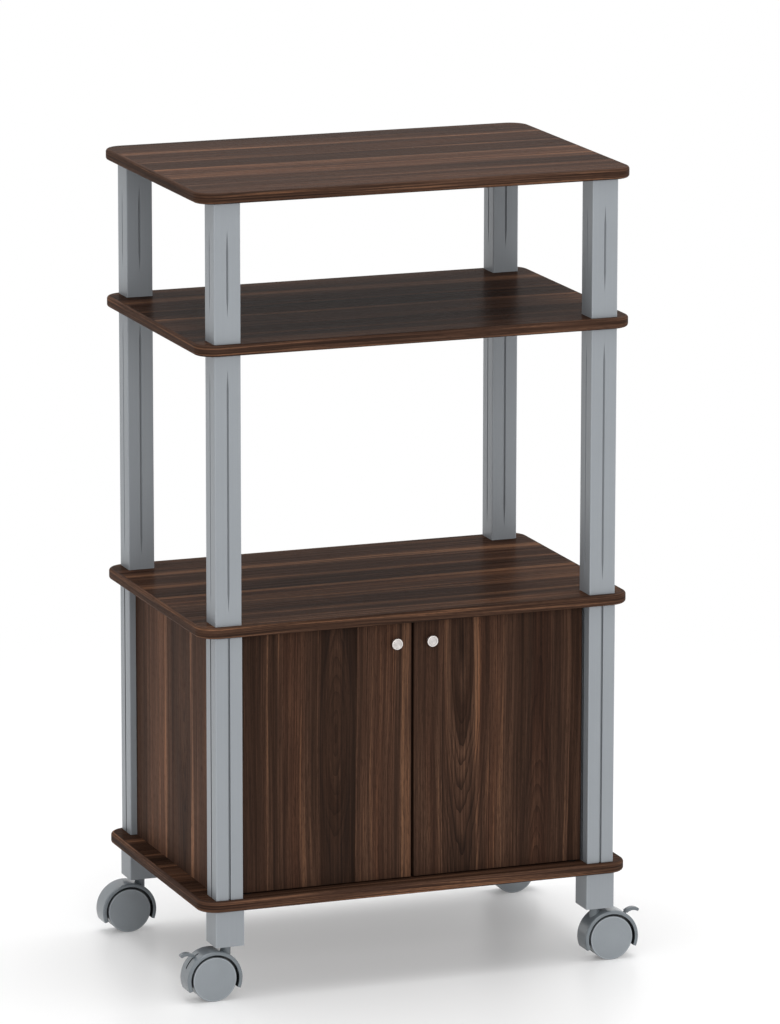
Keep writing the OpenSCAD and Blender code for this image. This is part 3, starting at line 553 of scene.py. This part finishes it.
def post_grey(name, shade, node, groove_shade_factors):
    """The tubes' satin grey: drawn lines down the tube, a fine grain and painted highlights on the
    corners.

    The corners are where both distances from the tube's axis reach the node's half width. In the
    grooves, near the middle of a side but below its face, painted shade makes the colour shade
    times one of the groove_shade_factors: the first in front and behind, the second on the sides.
    """
    finish = Finish(name)
    x, y, z = finish.place()
    low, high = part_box(node)
    half = (high.x - low.x) / 2
    middle = (abs(high.x + low.x) / 2, abs(high.y + low.y) / 2)
    offsets = [
        finish.math("ABSOLUTE", finish.math("SUBTRACT", finish.math("ABSOLUTE", place), centre))
        for place, centre in zip((x, y), middle)
    ]
    near, whole = (half - inset for inset in CORNER_HIGHLIGHT)
    corner = finish.spread(finish.math("MINIMUM", *offsets), near, whole, smooth=True)
    stretch = (0.0016, 0.0016, 0.22)
    line_place = [finish.math("DIVIDE", place, size) for place, size in zip((x, y, z), stretch)]
    drawn = finish.noise(finish.point(*line_place), 2.0, 0.6)
    where = finish.point(x, y, z)
    clouds = finish.noise(where, 2.0, 0.5, scale=9.0)
    specks = finish.noise(where, 2.0, 0.7, scale=1400.0)
    tint = finish.total(
        finish.spread(drawn, 0.3, 0.7, 0.0, 0.5), finish.spread(clouds, 0.35, 0.65, 0.0, 0.5)
    )
    # A painted highlight along the corners, varied by the drawn lines.
    painted_light_and_marks = finish.math("MULTIPLY", corner, finish.spread(drawn, 0.3, 0.7, 0.5, 0.8))
    colour_out = finish.mix(tint, rgba(shade), rgba(scaled(shade, 0.93)))
    # Painted shade in the grooves: below the face, near the middle of a side, the colour darkens.
    for across, inwards, factor in zip(offsets, reversed(offsets), groove_shade_factors):
        painted_groove_shade = finish.math(
            "MULTIPLY",
            finish.spread(inwards, half - GROOVE_START, half - 4 * GROOVE_START),
            finish.leaf(across, -1.0, GROOVE_HALF, 0.0002),
        )
        colour_out = finish.mix(painted_groove_shade, colour_out, rgba(scaled(shade, factor)))
    colour_out = finish.mix(painted_light_and_marks, colour_out, rgba(scaled(shade, 1.22)))
    rough = finish.total(
        0.36, finish.math("MULTIPLY", specks, 0.1), finish.math("MULTIPLY", drawn, 0.05)
    )
    height = finish.total(finish.math("MULTIPLY", drawn, 0.6), finish.math("MULTIPLY", specks, 0.4))
    return finish.surface(
        base_color=colour_out, roughness=rough, specular_ior_level=0.5,
        normal=finish.bump(height, 0.00004, 0.5),
    )


def caster_grey(name, shade, roughness, side, painted_light_zones, slot=None):
    """Glossy moulded plastic for the casters of one side, with zones round their axle.

    painted_light_zones = ((inner radius, outer radius, factor), ...): there the colour is shade
    times factor, painted shade where the factor is below 1 and a painted highlight where it is
    above. slot = (radius, half width, factor) paints shade in the same way above the axle, below
    that radius and near the caster's middle plane, which is where the brake lever's slot is.
    """
    finish = Finish(name)
    x, y, z = finish.place()
    low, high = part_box("wheel_outer_front_" + side)
    offsets = [
        finish.math("SUBTRACT", place, middle)
        for place, middle in ((x, (low.x + high.x) / 2), (z, (low.z + high.z) / 2))
    ]
    radius = finish.distance(*offsets)
    where = finish.point(x, y, z)
    clouds = finish.noise(where, 3.0, 0.6, scale=40.0)
    specks = finish.noise(where, 2.0, 0.7, scale=1500.0)
    tint = finish.spread(clouds, 0.3, 0.7, 0.0, 0.6)
    colour_out = finish.mix(tint, rgba(shade), rgba(scaled(shade, 0.92)))
    # Painted shade where a zone's factor is below 1, a painted highlight where it is above.
    for start, end, factor in painted_light_zones:
        inside = finish.leaf(radius, start, end, 0.0002)
        colour_out = finish.mix(inside, colour_out, rgba(scaled(shade, factor)))
    # Painted shade in the brake lever's slot.
    if slot:
        slot_r, slot_half, factor = slot
        low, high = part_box("foot_block_front_" + side)
        from_middle = finish.math("SUBTRACT", finish.math("ABSOLUTE", y), abs(low.y + high.y) / 2)
        inside = finish.math(
            "MULTIPLY",
            finish.math(
                "MULTIPLY",
                finish.leaf(radius, -1.0, slot_r, 0.0002),
                finish.leaf(from_middle, -slot_half, slot_half, 0.001),
            ),
            finish.spread(offsets[1], 0.0, 0.002),
        )
        colour_out = finish.mix(inside, colour_out, rgba(scaled(shade, factor)))
    rough = finish.spread(specks, 0.3, 0.7, roughness - 0.04, roughness + 0.08)
    return finish.surface(
        base_color=colour_out, roughness=rough, specular_ior_level=0.5,
        normal=finish.bump(specks, 0.00003, 0.35),
    )


def turned_metal(name, shade, roughness, centre, dish_r, dish_factor):
    """Metal turned on a lathe round an axis along y through centre, given as (x, z).

    Fine rings show in the gloss and the bump. Within dish_r the colour is shade times dish_factor.
    """
    finish = Finish(name)
    x, y, z = finish.place()
    offsets = [finish.math("SUBTRACT", place, middle) for place, middle in zip((x, z), centre)]
    radius = finish.distance(*offsets)
    rings = finish.noise(
        finish.point(finish.math("DIVIDE", radius, 0.00022), finish.math("DIVIDE", y, 0.0004), 0.0),
        2.0, 0.6,
    )
    dish = finish.leaf(radius, -1.0, dish_r, 0.0003)
    colour_out = finish.mix(dish, rgba(shade), rgba(scaled(shade, dish_factor)))
    line = finish.spread(rings, 0.3, 0.7, 0.0, 0.14)
    colour_out = finish.mix(line, colour_out, rgba(scaled(shade, 0.3)))
    rough = finish.spread(rings, 0.3, 0.7, roughness - 0.06, roughness + 0.08)
    return finish.surface(
        base_color=colour_out, roughness=rough, metallic=1.0,
        normal=finish.bump(rings, 0.00002, 0.6),
    )


def plated_steel(name, shade, roughness):
    """Plated steel: spangled clouds in the colour and uneven gloss."""
    finish = Finish(name)
    where = finish.point(*finish.place())
    spangle = finish.noise(where, 3.0, 0.65, scale=520.0, distortion=0.6)
    tint = finish.spread(spangle, 0.35, 0.65)
    colour_out = finish.mix(tint, rgba(shade), rgba(scaled(shade, 0.8)))
    rough = finish.spread(spangle, 0.3, 0.7, roughness - 0.08, roughness + 0.1)
    return finish.surface(
        base_color=colour_out, roughness=rough, metallic=1.0,
        normal=finish.bump(spangle, 0.00003, 0.4),
    )


# ---- Surfaces ----


def grid_faces(rows, columns):
    """The four corners of each cell in a grid of rows times columns points."""
    index = np.arange(rows * columns).reshape(rows, columns)
    corners = (index[:-1, :-1], index[1:, :-1], index[1:, 1:], index[:-1, 1:])
    return np.stack(corners, -1).reshape(-1, 4)


def surface_object(name, points, material, body, uv=None):
    """A piece from a grid of points (rows, columns, 3), with its seams and poles welded.

    Each cell of the grid is one face. uv = (row values, column values) is stored as the layer
    length_and_girth.
    """
    rows, columns = points.shape[:2]
    faces = grid_faces(rows, columns)
    mesh = bpy.data.meshes.new(name)
    mesh.from_pydata(points.reshape(-1, 3), [], faces)
    if uv is not None:
        both = np.stack(np.meshgrid(*uv, indexing="ij"), -1).reshape(-1, 2)
        layer = mesh.uv_layers.new(name="length_and_girth")
        layer.data.foreach_set("uv", both[faces.reshape(-1)].astype(np.float32).reshape(-1))
    shape = bmesh.new()
    shape.from_mesh(mesh)
    bmesh.ops.remove_doubles(shape, verts=shape.verts, dist=WELD)
    bmesh.ops.recalc_face_normals(shape, faces=shape.faces)
    shape.to_mesh(mesh)
    shape.free()
    mesh.shade_smooth()
    mesh.set_sharp_from_angle(angle=SHARP)
    mesh.materials.append(material)
    piece = bpy.data.objects.new(name, mesh)
    bpy.context.scene.collection.objects.link(piece)
    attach(piece, body)
    return piece


def arc(centre, radius, start, end, steps):
    """Points on a circle from angle start to angle end."""
    angle = np.linspace(start, end, steps + 1)
    return np.array(centre) + radius * np.stack([np.cos(angle), np.sin(angle)], -1)


def run_lengths(line):
    """The distance along a line of points, from its start to each of them."""
    steps = np.linalg.norm(np.diff(line, axis=0), axis=1)
    return np.concatenate([[0], np.cumsum(steps)])


def round_corner_path(half_x, half_y, radius, corner_steps=20, side_steps=24):
    """A rectangle with round corners, walked anticlockwise from the right side's middle.

    Returns the points and the outward directions; the first point comes again at the end.
    """
    points, outward = [], []
    turn = math.pi / 2
    middles = ((half_x, 0), (0, half_y), (-half_x, 0), (0, -half_y))
    signs = ((1, 1), (-1, 1), (-1, -1), (1, -1))
    centres = [(sx * (half_x - radius), sy * (half_y - radius)) for sx, sy in signs]
    share = np.linspace(0, 1, side_steps + 1)[:, None]
    for k in range(4):
        corner = arc(centres[k], radius, k * turn, (k + 1) * turn, corner_steps)
        before = np.array(middles[k]) * (1 - share) + corner[0] * share
        after = corner[-1] * (1 - share) + np.array(middles[(k + 1) % 4]) * share
        angle = np.concatenate([
            np.full(side_steps, k * turn),
            np.linspace(k * turn, (k + 1) * turn, corner_steps + 1),
            np.full(side_steps - 1, (k + 1) * turn),
        ])
        points.append(np.concatenate([before[:-1], corner, after[1:-1]]))
        outward.append(np.stack([np.cos(angle), np.sin(angle)], -1))
    points, outward = np.concatenate(points), np.concatenate(outward)
    return np.append(points, points[:1], 0), np.append(outward, outward[:1], 0)


def edging_profile(size, height):
    """The edging's closed outline (out from the core, up), with its round edges and its spine."""
    out, edge = size.thickness, size.edge
    half_spine = size.spine / 2
    quarter = math.pi / 2
    return np.concatenate([
        [(0, 0)],
        arc((out - edge, edge), edge, -quarter, 0, 10),
        arc((out - edge, height - edge), edge, 0, quarter, 10),
        [(0, height), (0, height / 2 + half_spine), (-size.spine_depth, height / 2 + half_spine),
         (-size.spine_depth, height / 2 - half_spine), (0, height / 2 - half_spine), (0, 0)],
    ])


def make_edging(board):
    """The edging round one board: its profile carried along the core's outline."""
    size = bpy.context.scene.cart_edging
    node = board + "_board_edging"
    low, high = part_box(node)
    path, outward = round_corner_path(
        high.x - size.thickness, high.y - size.thickness, size.corner - size.thickness
    )
    profile = edging_profile(size, high.z - low.z)
    flat = path[:, None, :] + outward[:, None, :] * profile[None, :, :1]
    up = np.broadcast_to(low.z + profile[None, :, 1], flat.shape[:2])
    points = np.concatenate([flat, up[..., None]], -1)
    material = walnut_edging("walnut_edging_" + board, low.z, high.z - low.z)
    piece = surface_object(
        board + "_edging_strip", points, material, "frame",
        uv=(run_lengths(path), run_lengths(profile)),
    )
    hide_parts(node)


def knob_profile(size, radius, height):
    """Half of a knob's outline, from the door's face to the axis: (out from the axis, up).

    Foot, neck, a cone under the head, the head's band, a rounded rim and a dished face. The
    dish carries turned rings: its depth wavers by a cosine of the distance from the axis.
    """
    quarter = math.pi / 2
    foot_r = size.neck + 0.001
    foot_top = 0.0012
    chamfer = 0.0002
    cone_top = height - size.head + 2 * chamfer
    cone_bottom = cone_top - 0.002
    lip = 0.0003
    ripple = 0.00004
    inner = radius - size.rim
    across = np.linspace(inner - lip, 0, 64)
    rings = height - size.dish + ripple * np.cos(math.tau * across / size.turning) - ripple
    return np.concatenate([
        [(0, 0), (foot_r, 0), (foot_r, foot_top), (size.neck, foot_top)],
        [(size.neck, cone_bottom), (radius - chamfer, cone_top), (radius, cone_top + chamfer)],
        arc((radius - size.edge, height - size.edge), size.edge, 0, quarter, 8),
        arc((inner + lip, height - lip), lip, quarter, 2 * quarter, 4),
        np.stack([across, rings], -1),
    ])


def make_knob(side):
    """A door knob: its outline turned round an axis that points to the front."""
    size = bpy.context.scene.cart_knob
    node = "door_knob_" + side
    low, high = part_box(node)
    centre_x, centre_z = (low.x + high.x) / 2, (low.z + high.z) / 2
    outline = knob_profile(size, (high.x - low.x) / 2, high.y - low.y)
    turn = np.linspace(0, math.tau, 73)
    out, up = outline[None, :, 0], outline[None, :, 1]
    points = np.stack([
        centre_x + out * np.cos(turn)[:, None],
        np.broadcast_to(high.y - up, (len(turn), len(outline))),
        centre_z + out * np.sin(turn)[:, None],
    ], -1)
    material = turned_metal(
        "knob_metal_" + side, tuple(bpy.context.scene.cart_greys.knob), 0.46, (centre_x, centre_z),
        (high.x - low.x) / 2 - size.rim, size.dish_factor,
    )
    piece = surface_object("turned_knob_" + side, points, material, f"door_{side}_body")
    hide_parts(node)


def dress(material, *nodes):
    """Gives CAD nodes their finish."""
    for name in nodes:
        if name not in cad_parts:
            raise RuntimeError(f"the frame has no node named {name}")
        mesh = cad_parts[name].data
        mesh.materials.clear()
        mesh.materials.append(material)


def each_corner(kind):
    """The names of the four nodes of that kind."""
    return [f"{kind}_{corner}" for corner in CORNERS]


# ---- Operators ----


class CART_OT_boards(bpy.types.Operator):
    """Finish the four boards, with the grain along their length"""

    bl_idname = "cart.boards"
    bl_label = "Boards"

    def execute(self, context):
        for board, tone in BOARDS.items():
            node = board + "_board"
            look = walnut(node, "yxz", bands=BOARD_BANDS, tone=tone, contrast=1.15, kind="board")
            dress(look, node)
        return {"FINISHED"}


class CART_OT_edgings(bpy.types.Operator):
    """Make the edging strips round the boards"""

    bl_idname = "cart.edgings"
    bl_label = "Edgings"

    def execute(self, context):
        for board in BOARDS:
            make_edging(board)
        return {"FINISHED"}


class CART_OT_panels(bpy.types.Operator):
    """Finish the side panels and the back panel, with upright grain"""

    bl_idname = "cart.panels"
    bl_label = "Panels"

    def execute(self, context):
        for side in SIDES:
            node = "side_panel_" + side
            # The side panels' lift of 1.9 is painted sheen: it makes them lighter than the back panel of
            # the same wood.
            dress(walnut(node, "yzx", PANEL_ARCHES, PANEL_BANDS, PANEL_RINGS, tone=0.02, lift=1.9), node)
        dress(walnut("back_panel", "xzy", BACK_ARCHES, PANEL_BANDS, PANEL_RINGS), "back_panel")
        return {"FINISHED"}


class CART_OT_doors(bpy.types.Operator):
    """Finish the doors: each has arches and streaks at places of its own"""

    bl_idname = "cart.doors"
    bl_label = "Doors"

    def execute(self, context):
        dress(walnut("door_left", "xzy", LEFT_ARCHES, LEFT_BANDS, LEFT_RINGS), "door_left")
        dress(walnut("door_right", "xzy", RIGHT_ARCHES, RIGHT_BANDS, RIGHT_RINGS), "door_right")
        return {"FINISHED"}


class CART_OT_knobs(bpy.types.Operator):
    """Make the turned knobs"""

    bl_idname = "cart.knobs"
    bl_label = "Knobs"

    def execute(self, context):
        for side in SIDES:
            make_knob(side)
        return {"FINISHED"}


class CART_OT_posts(bpy.types.Operator):
    """Finish the tubes and the foot blocks"""

    bl_idname = "cart.posts"
    bl_label = "Posts and feet"

    def execute(self, context):
        shade = tuple(context.scene.cart_greys.post)
        for kind, groove_shade_factors in POST_GROOVE_SHADE.items():
            grey = post_grey("grey_" + kind, shade, kind + "_front_right", groove_shade_factors)
            dress(grey, *each_corner(kind))
        return {"FINISHED"}


class CART_OT_casters(bpy.types.Operator):
    """Finish the hoods, wheels and brake levers"""

    bl_idname = "cart.casters"
    bl_label = "Casters"

    def execute(self, context):
        scene = context.scene
        hood_shade = tuple(scene.cart_greys.hood)
        wheel_shade = tuple(scene.cart_greys.wheel)
        low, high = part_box("wheel_outer_front_left")
        wheel_r = (high.z - low.z) / 2
        painted_light_zones = scene.cart_caster
        # Painted shade inside the hood and in the lever's slot, a painted highlight near each wheel's
        # rim and painted shade on its tread.
        inside = ((-1.0, wheel_r + painted_light_zones.gap, painted_light_zones.inside),)
        slot_r = wheel_r + painted_light_zones.gap + painted_light_zones.wall - painted_light_zones.slot_edge
        slot = (slot_r, painted_light_zones.slot, painted_light_zones.inside)
        line = wheel_r - painted_light_zones.rim_highlight_inset
        rim = ((line, line + painted_light_zones.rim_highlight_width, painted_light_zones.rim), (wheel_r - painted_light_zones.tread_edge, 1.0, painted_light_zones.tread))
        for side in SIDES:
            hood = caster_grey("hood_grey_" + side, hood_shade, 0.18, side, inside, slot)
            wheel = caster_grey("wheel_grey_" + side, wheel_shade, 0.3, side, rim)
            for row in ("front_", "rear_"):
                dress(hood, "caster_hood_" + row + side)
                dress(wheel, "wheel_outer_" + row + side, "wheel_inner_" + row + side)
            lever = caster_grey("lever_grey_" + side, scaled(hood_shade, 0.85), 0.22, side, ())
            dress(lever, "brake_lever_front_" + side)
        return {"FINISHED"}


class CART_OT_fittings(bpy.types.Operator):
    """Finish the screws, pins, studs, stems, axles, bushes, plugs, strike plates and the catch"""

    bl_idname = "cart.fittings"
    bl_label = "Fittings"

    def execute(self, context):
        greys = context.scene.cart_greys
        dress(
            plated_steel("zinc_steel", tuple(greys.zinc), 0.32),
            "joining_studs", "caster_stems", *each_corner("caster_axle"),
            *(f"{kind}_{side}" for side in SIDES for kind in ("knob_screw", "strike_plate")),
        )
        pins = [f"door_pivot_pins_{side}" for side in SIDES]
        dress(plated_steel("dark_steel", tuple(greys.pin), 0.6), *pins)
        dress(moulded_plastic("white_nylon", tuple(greys.nylon), 0.45, 0.0007), "magnetic_catch")
        dress(moulded_plastic("black_plastic", tuple(greys.plug), 0.5, 0.0009), "post_end_plugs")
        dress(moulded_plastic("dull_plastic", tuple(greys.bush), 0.7, 0.0009, 0.02), "pivot_bushes")
        return {"FINISHED"}


def direct_rays(tree):
    """1 for rays from the camera, mirrored rays and rays through glass, and 0 for all others."""
    rays = tree.nodes.new("ShaderNodeLightPath")
    found = rays.outputs["Is Camera Ray"]
    for kind in ("Is Glossy Ray", "Is Transmission Ray"):
        larger = tree.nodes.new("ShaderNodeMath")
        larger.operation = "MAXIMUM"
        tree.links.new(found, larger.inputs[0])
        tree.links.new(rays.outputs[kind], larger.inputs[1])
        found = larger.outputs[0]
    return found


def floor_finish(shade, near, far):
    """The floor: pale near the cart, shown as white further off, and clear when seen from below."""
    finish = Finish("pale_floor")
    x, y, z = finish.place()
    cloud = finish.spread(finish.noise(finish.point(x, y, z), 2.0, 0.5, scale=3.0), 0.3, 0.7, 0.0, 0.3)
    finish.surface(
        base_color=finish.mix(cloud, rgba(shade), rgba(scaled(shade, 0.985))),
        roughness=0.32, specular_ior_level=0.25,
    )
    away = finish.spread(finish.distance(x, y), near, far, 0.2, 1.0, smooth=True)
    white = finish.add("Emission", {"Color": (1, 1, 1, 1), "Strength": 1.0})
    share = finish.math("MULTIPLY", away, direct_rays(finish.tree))
    lit = finish.add("MixShader", {0: share, 1: finish.shader.outputs[0], 2: white})
    below = finish.add("NewGeometry", output="Backfacing")
    clear = finish.add("BsdfTransparent")
    whole = finish.add("MixShader", {0: below, 1: lit, 2: clear})
    finish.tree.links.new(whole, finish.tree.nodes["Material Output"].inputs["Surface"])
    return finish.material


def add_lamp(name, watts, size, place, aim):
    """A square lamp at place, turned to aim."""
    lamp = bpy.data.lights.new(name, "AREA")
    lamp.energy = watts
    lamp.size = size
    thing = bpy.data.objects.new(name, lamp)
    bpy.context.scene.collection.objects.link(thing)
    turn = (Vector(place) - Vector(aim)).to_track_quat("Z", "Y")
    thing.matrix_world = Matrix.Translation(place) @ turn.to_matrix().to_4x4()


class CART_OT_stage(bpy.types.Operator):
    """Set up the floor, the lamps, the white surroundings and the camera"""

    bl_idname = "cart.stage"
    bl_label = "Stage"

    def execute(self, context):
        studio = context.scene.cart_studio
        self.lay_floor(studio)
        self.light(context, studio)
        self.set_camera(context, studio)
        context.scene.view_settings.view_transform = "Standard"
        return {"FINISHED"}

    def lay_floor(self, studio):
        """A flat grid at z = 0."""
        reach = np.linspace(-FLOOR_REACH, FLOOR_REACH, 13)
        x, y = np.meshgrid(reach, reach, indexing="ij")
        mesh = bpy.data.meshes.new("floor")
        points = np.stack([x, y, np.zeros_like(x)], -1).reshape(-1, 3)
        mesh.from_pydata(points, [], grid_faces(*x.shape))
        finish = floor_finish(tuple(studio.floor), studio.floor_near, studio.floor_far)
        mesh.materials.append(finish)
        floor = bpy.data.objects.new("floor", mesh)
        bpy.context.scene.collection.objects.link(floor)

    def light(self, context, studio):
        """An even white world, a large lamp in front, a weaker one at the right and one overhead."""
        world = bpy.data.worlds.new("white_surroundings")
        world.use_nodes = True
        tree = world.node_tree
        strength = tree.nodes.new("ShaderNodeMapRange")
        strength.inputs["To Min"].default_value = studio.ambient
        tree.links.new(direct_rays(tree), strength.inputs["Value"])
        sky = tree.nodes["Background"]
        sky.inputs["Color"].default_value = (1, 1, 1, 1)
        tree.links.new(strength.outputs[0], sky.inputs["Strength"])
        context.scene.world = world
        for name, (size, place, aim) in LAMPS.items():
            add_lamp(name + "_lamp", getattr(studio, name), size, place, aim)

    def set_camera(self, context, studio):
        """The camera stands at its eye point, turned by yaw, pitch and roll."""
        data = bpy.data.cameras.new("camera")
        data.lens = studio.lens
        data.sensor_width = 36
        data.clip_end = 200
        camera = bpy.data.objects.new("camera", data)
        context.scene.collection.objects.link(camera)
        camera.matrix_world = (
            Matrix.Translation(studio.eye)
            @ Matrix.Rotation(-studio.yaw, 4, "Z")
            @ Matrix.Rotation(math.pi / 2 + studio.pitch, 4, "X")
            @ Matrix.Rotation(studio.roll, 4, "Z")
        )
        context.scene.camera = camera


class CART_PT_panel(bpy.types.Panel):
    """Lists the cart's pieces and the stage"""

    bl_idname = "CART_PT_panel"
    bl_label = "Microwave cart"
    bl_space_type = "VIEW_3D"
    bl_region_type = "UI"
    bl_category = "Cart"

    def draw(self, context):
        for operator in OPERATORS:
            self.layout.operator(operator.bl_idname)
        for group, settings in SETTINGS.items():
            box = self.layout.box()
            for name in settings.__annotations__:
                box.prop(getattr(context.scene, group), name)


SETTINGS = {
    "cart_walnut": CartWalnut,
    "cart_greys": CartGreys,
    "cart_edging": CartEdging,
    "cart_knob": CartKnob,
    "cart_caster": CartCaster,
    "cart_studio": CartStudio,
}
OPERATORS = (
    CART_OT_boards,
    CART_OT_edgings,
    CART_OT_panels,
    CART_OT_doors,
    CART_OT_knobs,
    CART_OT_posts,
    CART_OT_casters,
    CART_OT_fittings,
    CART_OT_stage,
)


def register():
    for kind in (*SETTINGS.values(), *OPERATORS, CART_PT_panel):
        bpy.utils.register_class(kind)
    for name, group in SETTINGS.items():
        setattr(bpy.types.Scene, name, PointerProperty(type=group))


def unregister():
    for name in SETTINGS:
        delattr(bpy.types.Scene, name)
    for kind in (CART_PT_panel, *reversed(OPERATORS), *reversed(SETTINGS.values())):
        bpy.utils.unregister_class(kind)


def main():
    """Makes every piece and the stage."""
    register()
    bpy.ops.cart.boards()
    bpy.ops.cart.edgings()
    bpy.ops.cart.panels()
    bpy.ops.cart.doors()
    bpy.ops.cart.knobs()
    bpy.ops.cart.posts()
    bpy.ops.cart.casters()
    bpy.ops.cart.fittings()
    bpy.ops.cart.stage()


if __name__ == "__main__":
    main()
